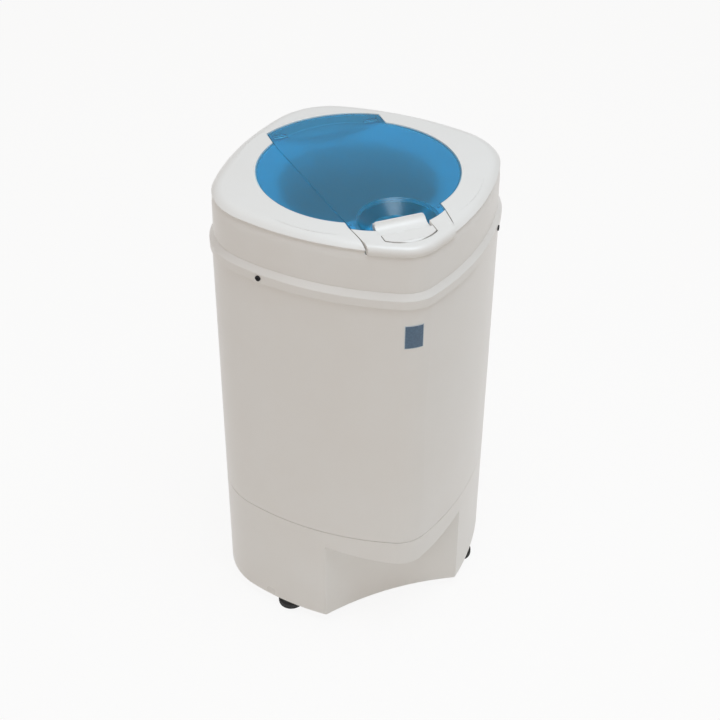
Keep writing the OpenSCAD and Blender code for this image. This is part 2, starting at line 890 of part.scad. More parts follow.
// Bell crank: the rod pushes its long arm down and its short arm swings the lining in
module brake_lever() {
    shoe = drum_r + lining_gap + lining_t;
    color(steel)
        rotate(rod_turn)
            difference() {
                translate([0, 5, 0])
                    rotate([90, 0, 0])
                        linear_extrude(10)
                            polygon([
                                [shoe, drum_z + 2], [shoe + 3, drum_z + 2], [shoe + 3, drum_z + 6],
                                [pivot_reach, pivot_z - 6], [pivot_reach + 6, pivot_z - lever_t / 2],
                                [rod_reach + 6, pivot_z - lever_t / 2],
                                [rod_reach + 6, pivot_z + lever_t / 2],
                                [pivot_reach + 4, pivot_z + 6], [pivot_reach - 5, pivot_z + 6],
                                [shoe + 3, drum_z + 14], [shoe, drum_z + 14]
                            ]);
                translate([pivot_reach, 10, pivot_z])
                    rotate([90, 0, 0]) cylinder(r = 3 + run_gap, h = 20);
            }
}

module brake_lining() {
    inner = drum_r + lining_gap;
    color(dark)
        intersection() {
            tube(inner + lining_t + 3, inner, drum_z + 2, drum_z + 14);
            rotate(rod_turn) block([0, -14, 0], [inner + lining_t, 14, drum_z + 20]);
        }
}

module brake_bracket() {
    color(steel)
        rotate(rod_turn) {
            for (side = [-1, 1])
                translate([pivot_reach - 7, side * 7 - 1.5, floor_z]) cube([14, 3, pivot_z + 6 - floor_z]);
            block([pivot_reach - 7, -14, floor_z], [pivot_reach + 7, 14, floor_z + 2.5]);
            translate([pivot_reach, 10, pivot_z]) rotate([90, 0, 0]) cylinder(r = 3, h = 20);
        }
}

module brake_drum() {
    color(grey)
        difference() {
            union() {
                tube(drum_r, drum_r - 5, drum_z, drum_z + drum_h);
                disc(drum_r - 2, drum_z + 5, drum_z + 9);
                disc(14, drum_z, drum_z + drum_h);
            }
            disc(shaft_r, drum_z - 1, drum_z + drum_h + 1);
        }
}

module lid_switch() {
    low = funnel_flange_z + funnel_t;
    top = switch_top - switch_drop - 1.2;
    color(dark)
        difference() {
            block([-cam_x - 9, hinge_y - 9, low], [-cam_x + 1, hinge_y + 9, top]);
            translate([-rod_x, hinge_y, 0]) disc(plunger_r + run_gap, low + 0.7, top + 1);
        }
}

module switch_plunger() {
    low = funnel_flange_z + funnel_t + 1 + switch_drop;
    color("#C8342B") translate([-rod_x, hinge_y, 0]) disc(plunger_r, low, switch_top);
}

// ---- Tub and basket ----

module tub() {
    outlet_top = tub_z + flange_t;
    color(shade_white)
        difference() {
            union() {
                disc(tub_r, tub_z, tub_flange_z + flange_t);
                plan_block(cabinet_in_top + 0.5, tub_flange_z, tub_flange_z + flange_t);
                // outlet over the drain hose
                translate([0, -drain_y, 0]) disc(outlet_r - run_gap, tub_z - 24, outlet_top);
                tube(tub_hole_r + 6, tub_hole_r, tub_z, tub_z + 10);
            }
            difference() {
                disc(tub_r - tub_t, tub_z + flange_t, body_h);
                tube(tub_hole_r + 3, tub_hole_r, tub_z, tub_z + 10);
            }
            disc(tub_hole_r, tub_z - 1, tub_z + 20);
            translate([0, -drain_y, 0]) disc(outlet_r - 2, tub_z - 25, tub_z + 10);
            rod_hole(tub_flange_z);
            at_cover_screws() disc(screw_hole_r, tub_flange_z - 1, tub_flange_z + 10);
        }
}

module tub_cover() {
    color(shade_white)
        difference() {
            tube(cover_out, cover_r, cover_z, cover_z + cover_t);
            rod_hole(cover_z);
            at_cover_screws() disc(2.2, cover_z - 1, cover_z + 10);
        }
}

module tub_gasket() {
    low = tub_flange_z + flange_t;
    color(dark) tube(tub_r - 1, tub_r - 5, low, low + 1);
}

// Rubber seal with one fold between the tub's bottom and the motor's neck
module bellows() {
    color(dark)
        rotate_extrude()
            polygon([
                [17.5, tub_z - 12], [19.5, tub_z - 12], [19.5, tub_z - 2], [24, tub_z + 4],
                [28, tub_z - 4], [33, tub_z - 4], [tub_hole_r, tub_z + 1], [tub_hole_r, tub_z + 4],
                [33, tub_z], [30, tub_z], [25, tub_z + 8], [22, tub_z + 8], [17.5, tub_z + 1]
            ]);
}

module basket() {
    shoulder = 16;
    inner = basket_r - basket_t;
    rows_low = basket_z + 22;
    rows_step = (basket_top - shoulder - 20 - rows_low) / (hole_rows - 1);
    color(steel)
        difference() {
            rotate_extrude()
                polygon(concat(
                    [[20, basket_z], [basket_r - 10, basket_z]],
                    arc(basket_r - 10, basket_z + 10, 10, -75, 0),
                    arc(basket_r - 12, basket_top - shoulder, 12, 0, 60),
                    [[mouth_r + 2 * lip_r, basket_top - 1]],
                    arc(mouth_r + lip_r, basket_top, lip_r, -15, 180),
                    [[mouth_r, basket_top - 5], [mouth_r + basket_t, basket_top - 5]],
                    arc(basket_r - 12, basket_top - shoulder, 12 - basket_t, 60, 0),
                    arc(basket_r - 10, basket_z + 10, 10 - basket_t, 0, -75),
                    [[basket_r - 10, basket_z + basket_t], [20, basket_z + basket_t]]
                ));
            for (row = [0:hole_rows - 1], hole = [0:row_holes - 1])
                rotate(360 * (hole + (row % 2) / 2) / row_holes)
                    bar_x(hole_r, inner - 5, basket_r + 5, 0, rows_low + row * rows_step);
        }
}

module basket_hub() {
    color(alloy)
        rotate_extrude()
            polygon([
                [shaft_r, hub_low], [16, hub_low], [20, basket_z - 2], [46, basket_z - 2],
                [46, basket_z], [20, basket_z], [20, basket_z + basket_t], [42, basket_z + basket_t],
                [42, basket_z + 4], [22, basket_z + 8], [15, basket_z + 30], [shaft_r, basket_z + 30]
            ]);
}

module hub_nut() {
    color(steel)
        difference() {
            translate([0, 0, basket_z + 30]) cylinder(r = 11, h = 9, $fn = 6);
            disc(shaft_r, basket_z + 25, basket_z + 45);
        }
}

// ---- Motor ----

module shaft() {
    color(steel) disc(shaft_r, drum_z - 3, basket_z + 44);
}

module rotor() {
    color(grey) tube(39.6, shaft_r, motor_z + 30, motor_z + 80);
}

module stator() {
    core_out = motor_r - 4;
    color("#6E4A2C")
        for (z = [motor_z + 22, motor_z + 77])
            tube(core_out - 6, 43, z, z + 11);
    color(grey) tube(core_out, 40, motor_z + 33, motor_z + 77);
}

module motor_lower_shell() {
    seat = bearing_h + 3;
    color(alloy)
        difference() {
            disc(motor_r, motor_z, motor_z + 55);
            difference() {
                disc(motor_r - 4, motor_z + 3.5, motor_z + 60);
                disc(bearing_r + 3.5, motor_z, motor_z + seat);
            }
            disc(bearing_r, motor_z + 3, motor_z + seat + 1);
            disc(shaft_r + 2, motor_z - 1, motor_z + 10);
        }
}

module motor_upper_shell() {
    color(alloy)
        difference() {
            union() {
                disc(motor_r, motor_z + 55, motor_top);
                disc(bearing_r + 3.5, motor_top - 1, neck_top);
            }
            disc(motor_r - 4, motor_z + 54, motor_top - 4);
            disc(shaft_r + 2, motor_top - 10, neck_top + 1);
            disc(bearing_r, neck_top - bearing_h - 5, neck_top + 1);
        }
}

module bearing_lower() {
    color(steel) tube(bearing_r, shaft_r + run_gap, motor_z + 3, motor_z + 3 + bearing_h);
}

module bearing_upper() {
    low = neck_top - bearing_h - 5;
    color(steel) tube(bearing_r, shaft_r + run_gap, low, low + bearing_h);
}

module shaft_seal() {
    color(dark) tube(bearing_r, shaft_r + run_gap, neck_top - 5, neck_top);
}

module motor_plate() {
    color(steel)
        difference() {
            disc(plate_r, plate_low, plate_low + plate_t);
            disc(shaft_r + 14, plate_low - 1, plate_low + 10);
            at_motor_mounts() disc(3.2, plate_low - 1, plate_low + 10);
        }
}

// Waisted rubber mount with a bolt hole in its top
module motor_mount(which) {
    color(dark)
        at_motor_mounts([which])
            difference() {
                rotate_extrude()
                    polygon([
                        [0, mount_z], [mount_r, mount_z], [mount_r, mount_z + 8],
                        [mount_r - 4, mount_z + 16], [mount_r - 4, plate_low - 16],
                        [mount_r, plate_low - 8], [mount_r, plate_low], [0, plate_low]
                    ]);
                disc(3.2, plate_low - 18, plate_low + 1);
            }
}

// ---- Drain and electrics ----

// Smooth rubber hose: down from the tub's outlet, then forward over the spout's stub
module drain_hose() {
    color(dark)
        difference() {
            hose_path(outlet_r + hose_t, 0);
            hose_path(outlet_r, 1);
        }
}

// The hose's outside or its bore, which runs on past both ends
module hose_path(r, past) {
    end_y = drain_y + hose_bend;
    translate([0, -drain_y, 0]) disc(r, spout_z + hose_bend, tub_z - 4 + past);
    translate([0, -end_y, spout_z + hose_bend])
        rotate([0, 90, 0])
            rotate_extrude(angle = 90)
                translate([hose_bend, 0]) circle(r = r);
    translate([0, -end_y, spout_z])
        rotate([90, 0, 0]) cylinder(r = r, h = scoop_y - floor_t - 1 - end_y + past);
}

module hose_clamps() {
    r = outlet_r + hose_t;
    color(steel) {
        translate([0, -drain_y, 0]) tube(r + 1.2, r, tub_z - 18, tub_z - 10);
        translate([0, -drain_y - hose_bend - 1, spout_z]) rotate([90, 0, 0]) tube(r + 1.2, r, 0, 7);
    }
}

module drain_spout() {
    seat = scoop_r - sqrt(pow(scoop_r, 2) - pow(spout_r + spout_rim, 2));
    color(white)
        translate([0, -scoop_y, spout_z])
            rotate([90, 0, 0])
                difference() {
                    union() {
                        translate([0, 0, -floor_t]) cylinder(r = spout_r - 0.2, h = floor_t + seat + 1);
                        translate([0, 0, seat + 0.5]) cylinder(r = spout_r, h = spout_out - seat - 0.5);
                        translate([0, 0, seat]) cylinder(r = spout_r + spout_rim, h = 2.5);
                        translate([0, 0, -stub_length - floor_t])
                            cylinder(r = outlet_r - run_gap, h = stub_length + 1);
                    }
                    translate([0, 0, -stub_length - 20]) cylinder(r = spout_bore, h = 90);
                }
}

module capacitor() {
    color("#D9D9D6") translate([-118, 24, 0]) disc(19, floor_z + 3, floor_z + 70);
    color(dark) translate([-118, 24, 0]) disc(17, floor_z + 70, floor_z + 75);
}

module capacitor_clip() {
    color(steel)
        translate([-118, 24, 0]) {
            tube(21, 19, floor_z, floor_z + 22);
            disc(21, floor_z, floor_z + 3);
        }
}

module terminal_block() {
    color("#E9E4D0")
        difference() {
            block([104, 18, floor_z], [126, 62, floor_z + 20]);
            for (y = [26:9:54])
                translate([115, y, 0]) disc(2.5, floor_z + 8, floor_z + 25);
        }
}

module cord_gland() {
    inner = side_reach - 9;
    color(dark)
        translate([0, 0, base_z + 45])
            rotate([-90, 0, 0])
                difference() {
                    union() {
                        translate([0, 0, inner]) cylinder(r = 7, h = front_reach - inner);
                        translate([0, 0, side_reach]) cylinder(r = 11, h = front_reach - side_reach);
                        translate([0, 0, inner - 3]) cylinder(r = 10, h = 5);
                    }
                    translate([0, 0, inner - 5]) cylinder(r = 4, h = 40);
                }
}

// Rubber foot with a stem through the base
module foot(which) {
    at = feet[which];
    color(dark)
        translate([at.x, at.y, 0]) {
            rotate_extrude()
                polygon([
                    [0, 0], [foot_r - 2, 0], [foot_r, 2], [foot_r, base_z - 5],
                    [foot_r - 2, base_z - 3], [foot_r - 2, base_z], [0, base_z]
                ]);
            disc(4, base_z - eps, floor_z + 4);
        }
}

// ---- Fasteners ----

module collar_screws() {
    color(dark) at_collar_screws() screw(3.6, 1.6, 1.7, 10);
}

module plate_screws() {
    color(steel)
        at_plate_screws()
            translate([0, 0, plate_z - flange_t]) mirror([0, 0, 1]) screw(3.4, 2, 1.5, 14);
}

module cover_screws() {
    color(steel)
        at_cover_screws() translate([0, 0, cover_z + cover_t]) screw(3.4, 2, 1.7, 10);
}

module motor_bolts() {
    color(steel)
        at_motor_mounts() translate([0, 0, plate_low + plate_t]) screw(5.5, 4, 3, 18);
}

module lid_screws() {
    color(steel)
        for (x = [-nose_w + 4, nose_w - 4])
            translate([x, -window_front + 7, glass_z - 4.5]) mirror([0, 0, 1]) screw(3, 1.8, 1.5, 6);
}

base_skirt();
cabinet();
collar();
top_plate();
funnel();
label();
lid_window();
lid_nose();
latch_lever();
latch_pin();
latch_spring();
latch_keeper();
hinge_pin(-1, switch_drop);  // hinge_pin_left
hinge_pin(1, rod_drop);  // hinge_pin_right
hinge_bracket(-1);  // hinge_bracket_left
hinge_bracket(1);  // hinge_bracket_right
interlock_rod();
rod_guides();
rod_spring();
brake_lever();
brake_lining();
brake_bracket();
brake_drum();
lid_switch();
switch_plunger();
tub();
tub_cover();
tub_gasket();
bellows();
basket();
basket_hub();
hub_nut();
shaft();
rotor();
stator();
motor_lower_shell();
motor_upper_shell();
bearing_lower();
bearing_upper();
shaft_seal();
motor_plate();
motor_mount(0);  // motor_mount_back
motor_mount(1);  // motor_mount_left
motor_mount(2);  // motor_mount_right
drain_hose();
hose_clamps();
drain_spout();
capacitor();
capacitor_clip();
terminal_block();
cord_gland();
foot(0);  // foot_front_left
foot(1);  // foot_front_right
foot(2);  // foot_back_left
foot(3);  // foot_back_right
collar_screws();
plate_screws();
cover_screws();
motor_bolts();
lid_screws();
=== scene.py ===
# %% [markdown]
# # A laundry spin dryer
# The dryer is an upright white box with a blue see-through lid. Every solid
# piece was drawn beforehand and comes in ready-made; this lesson gives the pieces
# their finishes, adds what repeats, and sets up a plain studio around them.
# All lengths are metres. +Z is up and the front corner points along -Y.

# %% Load the ready-made pieces
import json
import math

import bmesh
import bpy
from mathutils import Matrix, Vector


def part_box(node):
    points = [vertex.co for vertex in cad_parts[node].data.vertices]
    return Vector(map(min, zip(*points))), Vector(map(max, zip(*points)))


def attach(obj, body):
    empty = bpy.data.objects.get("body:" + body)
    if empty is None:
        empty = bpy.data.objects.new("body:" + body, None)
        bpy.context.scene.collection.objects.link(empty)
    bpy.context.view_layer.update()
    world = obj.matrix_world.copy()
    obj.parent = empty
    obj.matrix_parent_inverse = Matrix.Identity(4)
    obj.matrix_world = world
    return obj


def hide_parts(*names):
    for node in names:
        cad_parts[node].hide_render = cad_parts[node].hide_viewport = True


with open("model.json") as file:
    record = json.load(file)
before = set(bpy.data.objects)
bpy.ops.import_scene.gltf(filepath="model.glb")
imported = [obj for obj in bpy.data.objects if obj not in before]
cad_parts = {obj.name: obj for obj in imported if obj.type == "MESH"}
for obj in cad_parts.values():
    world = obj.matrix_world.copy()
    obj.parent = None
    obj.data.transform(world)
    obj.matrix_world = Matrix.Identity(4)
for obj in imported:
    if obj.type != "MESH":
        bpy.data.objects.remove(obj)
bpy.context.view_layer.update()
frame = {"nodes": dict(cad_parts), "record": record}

nodes = frame["nodes"]
bodies = frame["record"]["behaviour"]["bodies"]
body_of = {node: body for body, names in bodies.items() for node in names}

# %% [markdown]
# ## The camera
# The picture of the real dryer was taken from above and to the left of
# the front corner. A camera is three directions and a place: where it looks, what
# is right, and what is up. They are worked out from an azimuth and an elevation,
# and a small roll turns the picture as the real camera was turned. Its sensor is
# 36 mm wide, like a film frame. A helper puts any new object into the scene, and
# the later cells use it too.

# %% Camera
camera_place = (-0.52814, -1.33551, 1.45483)
camera_lens = 65.83                     # millimetres
azimuth, elevation, roll = (math.radians(angle) for angle in (-21.73, 37.66, 0.47))


def into_scene(name, data):
    """A new object in the scene that holds this mesh, lamp or camera."""
    thing = bpy.data.objects.new(name, data)
    bpy.context.scene.collection.objects.link(thing)
    return thing


backwards = Vector((math.sin(azimuth) * math.cos(elevation),
                    -math.cos(azimuth) * math.cos(elevation), math.sin(elevation)))
rightwards = Vector((0, 0, 1)).cross(backwards).normalized()
upwards = backwards.cross(rightwards)
turned_right = rightwards * math.cos(roll) + upwards * math.sin(roll)
turned_up = upwards * math.cos(roll) - rightwards * math.sin(roll)

camera = into_scene("studio_camera", bpy.data.cameras.new("studio_camera"))
place = Matrix((turned_right, turned_up, backwards)).transposed().to_4x4()
place.translation = Vector(camera_place)
camera.matrix_world = place
camera.data.sensor_width = 36
camera.data.lens = camera_lens
camera.data.clip_start = 0.02
bpy.context.scene.camera = camera
print("camera at", [round(v, 3) for v in place.translation], "with a lens of", camera_lens, "mm")

# %% [markdown]
# ## Colours and nodes
# Colours are written the way a paint chart writes them, as hex values, which are
# stored bent by the screen's curve. Shaders add light up, so they need the straight
# values, and one function does that. A second one adds any node to any tree: its
# settings are keyword arguments, and what goes into its sockets is a dictionary
# whose values are plain numbers or other nodes' outputs.

# %% Two helpers
def linear(hex_colour):
    """The straight red, green and blue of a hex colour, with full opacity."""
    parts = [int(hex_colour[i:i + 2], 16) / 255 for i in (1, 3, 5)]
    return tuple(c / 12.92 if c <= 0.04045 else ((c + 0.055) / 1.055) ** 2.4 for c in parts) + (1.0,)


def add(tree, kind, sockets=None, **settings):
    """Adds a node, applies its settings, and fills or links its input sockets."""
    node = tree.nodes.new(kind)
    for key, value in settings.items():
        setattr(node, key, value)
    for key, value in (sockets or {}).items():
        if isinstance(value, bpy.types.NodeSocket):
            tree.links.new(value, node.inputs[key])
        else:
            node.inputs[key].default_value = value
    return node


print("middle grey in straight values:", [round(c, 3) for c in linear("#808080")])

# %% [markdown]
# ## Every finish starts the same way
# All finishes use one physically based surface shader. A finish has a name, a base
# colour and a roughness, and then its own pattern. Patterns read object
# coordinates, because each piece's mesh holds its true place in metres, so a
# pattern's scale is simply one over a length in metres. `drift` lets colour and
# roughness wander between two values, as real surfaces do, and `relief` turns a
# pattern into fine bumps of a true depth.

# %% Begin a finish, let it drift, give it relief
def begin(name, hex_colour, roughness, **sockets):
    """A material with its tree, its surface shader and the object coordinates."""
    material = bpy.data.materials.new(name)
    material.use_nodes = True
    tree = material.node_tree
    surface = tree.nodes["Principled BSDF"]
    surface.inputs["Base Color"].default_value = linear(hex_colour)
    surface.inputs["Roughness"].default_value = roughness
    for key, value in sockets.items():
        surface.inputs[key.replace("_", " ")].default_value = value
    where = add(tree, "ShaderNodeTexCoord").outputs["Object"]
    return material, tree, surface, where


def drift(tree, surface, where, patch, hexes, roughs):
    """Colour and roughness that wander between two values, in patches of this size."""
    cloud = add(tree, "ShaderNodeTexNoise", {"Vector": where, "Scale": 1 / patch, "Detail": 3.0})
    even = add(tree, "ShaderNodeMapRange",
               {"Value": cloud.outputs["Fac"], "From Min": 0.3, "From Max": 0.7}).outputs["Result"]
    colour = add(tree, "ShaderNodeMix",
                 {0: even, 6: linear(hexes[0]), 7: linear(hexes[1])}, data_type="RGBA")
    rough = add(tree, "ShaderNodeMix", {0: even, 2: roughs[0], 3: roughs[1]})
    tree.links.new(colour.outputs[2], surface.inputs["Base Color"])
    tree.links.new(rough.outputs[0], surface.inputs["Roughness"])


def relief(tree, surface, height, depth, edge=0.0):
    """Bumps of a depth in metres; edge rounds sharp corners in the light by that radius."""
    sockets = {"Height": height, "Distance": depth, "Strength": 1.0}
    if edge:
        bevel = add(tree, "ShaderNodeBevel", {"Radius": edge}, samples=6)
        sockets["Normal"] = bevel.outputs["Normal"]
    bump = add(tree, "ShaderNodeBump", sockets)
    tree.links.new(bump.outputs["Normal"], surface.inputs["Normal"])


print("finishes can begin")

# %% [markdown]
# ## White mouldings
# The housing is injection-moulded ABS, a hard plastic whose skin copies the polish
# of its steel mould. It is glossy but never a mirror: a faint "orange peel" about
# 2 mm across breaks up reflections, and sharp corners carry a radius of 0.6 mm
# that catches a thin line of light. The pieces under the lid are the same plastic
# from a duller mould, which leaves only a sheen.

# %% Finishes for the white mouldings
def moulded_white(name, hexes, roughs, peel_depth):
    material, tree, surface, where = begin(name, hexes[0], roughs[0], IOR=1.54)
    drift(tree, surface, where, 0.12, hexes, roughs)
    peel = add(tree, "ShaderNodeTexNoise", {"Vector": where, "Scale": 1 / 0.0022, "Detail": 1.0})
    relief(tree, surface, peel.outputs["Fac"], peel_depth, edge=0.0006)
    return material


polished_abs = moulded_white("polished_white_abs", ("#ECEAE6", "#EEEDEA"), (0.27, 0.34), 0.00001)
satin_abs = moulded_white("satin_white_abs", ("#E2E1DC", "#E6E5E0"), (0.42, 0.52), 0.00002)
print("white finishes:", polished_abs.name, satin_abs.name)

# %% [markdown]
# ## The tinted window
# The lid is a styrene plastic, dyed blue and a little milky. Its top is polished
# and its underside is satin, so shapes inside the dryer show as soft shadows in the
# blue. Most of the light passes through and is tinted, and the milky rest sends
# light back, which is why the lid looks blue even over a dark hole. Lamps shine
# through it too: a shadow ray meets a plain blue tint instead of a solid wall. The
# two sides are two finishes on one piece, chosen by which way each face looks.

# %% Finishes for the window
see_through = 0.88                      # share of the light that isn't sent back
shadow_tint = "#A6DAEC"


def tinted(name, hex_colour, roughness, wave_depth):
    material, tree, surface, where = begin(name, hex_colour, roughness, IOR=1.57)
    surface.inputs["Transmission Weight"].default_value = see_through
    wave = add(tree, "ShaderNodeTexNoise", {"Vector": where, "Scale": 1 / 0.03, "Detail": 2.0})
    roughs = (roughness * 0.85, roughness * 1.15)
    drift(tree, surface, where, 0.09, (hex_colour, hex_colour), roughs)
    relief(tree, surface, wave.outputs["Fac"], wave_depth, edge=0.0008)
    path = add(tree, "ShaderNodeLightPath")
    clear = add(tree, "ShaderNodeBsdfTransparent", {0: linear(shadow_tint)})
    mixed = add(tree, "ShaderNodeMixShader",
                {0: path.outputs["Is Shadow Ray"], 1: surface.outputs[0], 2: clear.outputs[0]})
    tree.links.new(mixed.outputs[0], tree.nodes["Material Output"].inputs["Surface"])
    return material


window_top = tinted("polished_blue_styrene", "#4CC4EA", 0.2, 0.00006)
window_under = tinted("satin_blue_styrene", "#4CC3E8", 0.35, 0.00003)
print("window finishes:", window_top.name, window_under.name)

# %% [markdown]
# ## Metals
# A metal has no colour under its skin: what it shows is a tinted reflection, and
# what tells one from another is how its surface was worked. `patch` is the size
# of its blotches and `grain` the size of its marks, both in metres, and a stretch
# draws the marks out along or round the piece.

# %% Finishes for the metals
def metal(name, hexes, roughs, patch, grain, grain_depth, stretch=(1, 1, 1)):
    material, tree, surface, where = begin(name, hexes[0], roughs[0], Metallic=1.0)
    drift(tree, surface, where, patch, hexes, roughs)
    placed = add(tree, "ShaderNodeMapping", {"Vector": where, "Scale": stretch}).outputs["Vector"]
    marks = add(tree, "ShaderNodeTexNoise", {"Vector": placed, "Scale": 1 / grain, "Detail": 2.0})
    relief(tree, surface, marks.outputs["Fac"], grain_depth)
    return material


# Zinc-plated steel is bluish and bright, with blotches of about 8 mm.
zinc_plate = metal("zinc_plated_steel", ("#B9BDC4", "#A9AEB8"), (0.28, 0.40),
                   0.008, 0.0008, 0.000004)
# Ground steel is nearly a mirror, with faint marks round the rod.
bright_steel = metal("ground_steel", ("#C6C8CB", "#B4B7BB"), (0.18, 0.28),
                     0.01, 0.0006, 0.000003, (1, 1, 12))
# Stainless sheet brushed round the axis stretches its highlights up and down.
stainless = metal("brushed_stainless", ("#CDCFD0", "#C1C3C5"), (0.34, 0.46),
                  0.05, 0.0012, 0.00001, (1, 1, 14))
# Cast aluminium has the sandy skin of its mould and no clear highlight.
cast_aluminium = metal("cast_aluminium", ("#B7B9BA", "#A6A8AA"), (0.45, 0.6),
                       0.02, 0.0014, 0.00008)
# Machined cast iron is darker than steel and keeps the lathe's marks.
cast_iron = metal("machined_cast_iron", ("#7A7B7D", "#66676A"), (0.35, 0.5),
                  0.012, 0.001, 0.00002, (1, 1, 8))
# Oiled spring wire is dark grey and shines in streaks.
spring_wire = metal("oiled_spring_wire", ("#7E8084", "#6C6E73"), (0.25, 0.38),
                    0.004, 0.0011, 0.00012, (0.2, 0.2, 1))
# Black phosphate is a crystal coat that dulls a screw to near black.
phosphate = metal("black_phosphated_steel", ("#3A3A3D", "#242427"), (0.38, 0.52),
                  0.002, 0.0004, 0.00001)
print("metals, from", zinc_plate.name, "to", phosphate.name)

# %% [markdown]
# ## Rubber and small fittings
# Feet, seals and hose are rubber. Small fittings are moulded from harder plastics
# that differ in colour and sheen, so they share one recipe: blotches, a fine grain
# and corners that are rounded by 0.4 mm in the light.

# %% Finishes for rubber and fittings
def plastic(name, hexes, roughs, patch, grain, grain_depth, ior):
    material, tree, surface, where = begin(name, hexes[0], roughs[0], IOR=ior)
    drift(tree, surface, where, patch, hexes, roughs)
    pores = add(tree, "ShaderNodeTexNoise", {"Vector": where, "Scale": 1 / grain, "Detail": 2.0})
    relief(tree, surface, pores.outputs["Fac"], grain_depth, edge=0.0004)
    return material


# Moulded EPDM rubber is matt black and greys a little with dust.
epdm = plastic("black_epdm_rubber", ("#161617", "#222324"), (0.55, 0.75),
               0.015, 0.0009, 0.00003, 1.52)
# Pressed brake lining is brown and rough, with no shine.
brake_felt = plastic("pressed_brake_lining", ("#2B2622", "#3A332D"), (0.8, 0.95),
                     0.003, 0.0006, 0.00012, 1.5)
# Glass-filled nylon is a flat grey, a little cloudy from its fibres.
grey_nylon = plastic("grey_glass_filled_nylon", ("#85888B", "#919497"), (0.4, 0.55),
                     0.01, 0.0008, 0.00003, 1.53)
# Moulded black nylon has a soft sheen.
black_nylon = plastic("black_nylon", ("#1C1D1F", "#27282A"), (0.35, 0.5),
                      0.008, 0.0008, 0.00002, 1.53)
# Red acetal is smooth and looks waxy.
red_acetal = plastic("red_acetal", ("#B02A20", "#BC3A2C"), (0.25, 0.35),
                     0.004, 0.0008, 0.00001, 1.48)
# Cream nylon is a warm white with a soft sheen.
cream_nylon = plastic("cream_nylon", ("#E4DCC4", "#EAE3CF"), (0.35, 0.45),
                      0.01, 0.0008, 0.00002, 1.53)
# A shrunk PVC sleeve is pale grey and smooth over its can.
can_sleeve = plastic("pale_grey_pvc_sleeve", ("#CFCFCB", "#D9D9D5"), (0.3, 0.4),
                     0.02, 0.0012, 0.00002, 1.53)
print("rubber:", epdm.name, "and the sleeve:", can_sleeve.name)

# %% [markdown]
# ## Windings
# The windings are lacquered copper wire, which is red-brown under a clear gloss.
# Real wire is about half a millimetre thick. It is drawn as ridges 2 mm apart,
# so that they show. A wave texture repeats every tau / 20 over its scale, so the
# scale is worked out backwards from the distance between ridges.

# %% Finish for the windings
ridge_spacing = 0.0019739
wound_copper, tree, surface, where = begin("lacquered_copper_windings", "#8A4B2A", 0.3,
                                           Metallic=1.0, Coat_Weight=0.6)
drift(tree, surface, where, 0.006, ("#9A5630", "#7A3E22"), (0.25, 0.4))
turns = add(tree, "ShaderNodeTexWave",
            {"Vector": where, "Scale": math.tau / 20 / ridge_spacing, "Distortion": 0.4},
            wave_type="RINGS", rings_direction="Z")
relief(tree, surface, turns.outputs["Fac"], 0.0003)
print("windings:", wound_copper.name, "with ridges", round(ridge_spacing * 1000, 1), "mm apart")

# %% [markdown]
# ## Giving the finishes to the pieces
# Each ready-made piece keeps its mesh, and only its material slot is filled. One
# list per finish is easier to read and to check than sixty lines.

# %% Assign finishes
finishes = {
    polished_abs: ["base_skirt", "cabinet", "collar", "top_plate", "lid_nose", "latch_lever",
                   "drain_spout"],
    satin_abs: ["funnel", "tub", "tub_cover", "hinge_bracket_left", "hinge_bracket_right"],
    window_top: ["lid_window"],
    zinc_plate: ["latch_keeper", "brake_lever", "brake_bracket", "motor_plate", "hose_clamps",
                 "capacitor_clip", "plate_screws", "cover_screws", "motor_bolts", "lid_screws",
                 "hub_nut"],
    bright_steel: ["latch_pin", "hinge_pin_left", "hinge_pin_right", "interlock_rod", "shaft",
                   "bearing_lower", "bearing_upper"],
    stainless: ["basket"],
    cast_aluminium: ["basket_hub", "motor_lower_shell", "motor_upper_shell"],
    cast_iron: ["brake_drum", "rotor"],
    spring_wire: ["latch_spring", "rod_spring"],
    phosphate: ["collar_screws"],
    wound_copper: ["stator"],
    epdm: ["tub_gasket", "bellows", "shaft_seal", "motor_mount_back", "motor_mount_left",
           "motor_mount_right", "drain_hose", "cord_gland", "foot_front_left",
           "foot_front_right", "foot_back_left", "foot_back_right"],
    brake_felt: ["brake_lining"],
    grey_nylon: ["rod_guides"],
    black_nylon: ["lid_switch"],
    red_acetal: ["switch_plunger"],
    cream_nylon: ["terminal_block"],
    can_sleeve: ["capacitor"],
}
finish_of = {name: material for material, names in finishes.items() for name in names}
for name, material in finish_of.items():
    nodes[name].data.materials.clear()
    nodes[name].data.materials.append(material)
print("without a finish:", sorted(set(nodes) - set(finish_of) - {"label"}))

# %% [markdown]
# ## Smooth skins for the shells
# A ready-made mesh is a soup of loose triangles, so light breaks at every facet of
# a rounded edge. A copy with its corners welded can be shaded smoothly instead:
# edges flatter than 24 degrees are smoothed and the rest stay crisp. The weighted
# normal modifier keeps the large flat faces flat. The copy then stands for the
# original piece.

# %% Weld and smooth a copy
weld_distance = 2e-6
crisp_angle = math.radians(24)


def skin(name):
    """A welded, smoothly shaded copy that replaces a ready-made piece."""
    source = bmesh.new()
    source.from_mesh(nodes[name].data)
    bmesh.ops.remove_doubles(source, verts=source.verts, dist=weld_distance)
    source.verts.index_update()
    places = [corner.co.copy() for corner in source.verts]
    triangles = [[corner.index for corner in face.verts] for face in source.faces]
    source.free()
    mesh = bpy.data.meshes.new(name + "_skin")
    mesh.from_pydata(places, [], triangles)
    mesh.shade_smooth()
    mesh.set_sharp_from_angle(angle=crisp_angle)
    mesh.materials.append(finish_of[name])
    piece = into_scene(name + "_skin", mesh)
    flatter = piece.modifiers.new("flatter", "WEIGHTED_NORMAL")
    flatter.keep_sharp = True
    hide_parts(name)
    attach(piece, body_of[name])
    return piece


